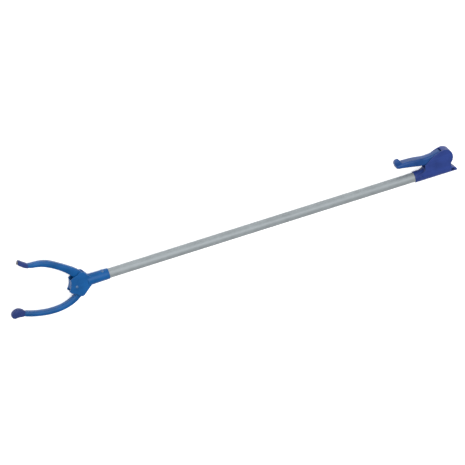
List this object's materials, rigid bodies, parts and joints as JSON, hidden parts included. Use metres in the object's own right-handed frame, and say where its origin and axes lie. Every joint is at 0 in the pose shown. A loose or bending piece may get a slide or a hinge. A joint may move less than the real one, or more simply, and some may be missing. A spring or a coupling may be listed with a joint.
{
  "type": "reacher grabber",
  "caption": "Long hand-held reacher grabber: squeeze trigger on a tubular shaft closes two curved jaws with soft tips.",
  "frame": {"origin": "centre of the tool's bounding box, on the face that it lies on", "axes": "+X along the shaft from the jaws to the handle, +Y toward the trigger's side, +Z the normal of the plane that jaws and trigger swing in"},
  "size_m": [0.775, 0.107, 0.0196],
  "materials": {
    "head_blue": "satin moulded",
    "handle_blue": "satin moulded",
    "lever_blue": "satin moulded",
    "soft_pad": "soft, slightly shiny",
    "tube": "satin anodised",
    "rivet": "smooth",
    "steel": "bright",
    "zinc": "cast, dull",
    "spring_steel": "drawn wire",
    "nylon": "matt",
    "magnet": "dull, slightly worn"
  },
  "bodies": {
    "frame": {"shaft_tube": "tube", "head_plate_near": "head_blue", "head_plate_far": "head_blue", "hub_rivet": "rivet", "collar_rivet": "rivet", "finger_pivot_pins": "steel", "front_guide_bush": "nylon", "rear_guide_bush": "nylon", "return_spring": "spring_steel", "handle_shell_near": "handle_blue", "handle_shell_far": "handle_blue", "handle_screws": "steel", "trigger_pivot_pin": "handle_blue", "shaft_lock_pin": "handle_blue"},
    "trigger": {"trigger_lever": "lever_blue"},
    "rod": {"pull_rod": "steel", "rod_spring_collar": "steel", "drive_yoke": "zinc", "drive_pins": "steel", "rod_clevis": "zinc", "clevis_pin": "steel"},
    "upper_jaw": {"finger_upper": "head_blue", "tip_pad_upper": "soft_pad", "tip_magnet": "magnet"},
    "lower_jaw": {"finger_lower": "head_blue", "tip_pad_lower": "soft_pad"}
  },
  "joints": [
    {"name": "trigger_squeeze", "type": "hinge", "parent": "frame", "child": "trigger", "pos_m": [0.36708, 0.00287, 0.0098], "axis": [0, 0, 1], "range_deg": [0, 9.3], "stiffness_Nm_per_rad": 2.5, "springref_deg": -6.88},
    {"name": "rod_slide", "type": "slide", "parent": "frame", "child": "rod", "axis": [1, 0, 0], "range_m": [0, 0.00307], "deforming": ["return_spring"]},
    {"name": "upper_jaw_turn", "type": "hinge", "parent": "frame", "child": "upper_jaw", "pos_m": [-0.26221, -0.00497, 0.0098], "axis": [0, 0, 1], "range_deg": [0, 19.62]},
    {"name": "lower_jaw_turn", "type": "hinge", "parent": "frame", "child": "lower_jaw", "pos_m": [-0.26699, -0.02849, 0.0098], "axis": [0, 0, 1], "range_deg": [-19.62, 0]}
  ],
  "couplings": [
    {"joint": "rod_slide", "follows": "trigger_squeeze", "m_per_rad": 0.018779},
    {"joint": "upper_jaw_turn", "follows": "trigger_squeeze", "ratio": 2.1084},
    {"joint": "lower_jaw_turn", "follows": "trigger_squeeze", "ratio": -2.1084}
  ]
}
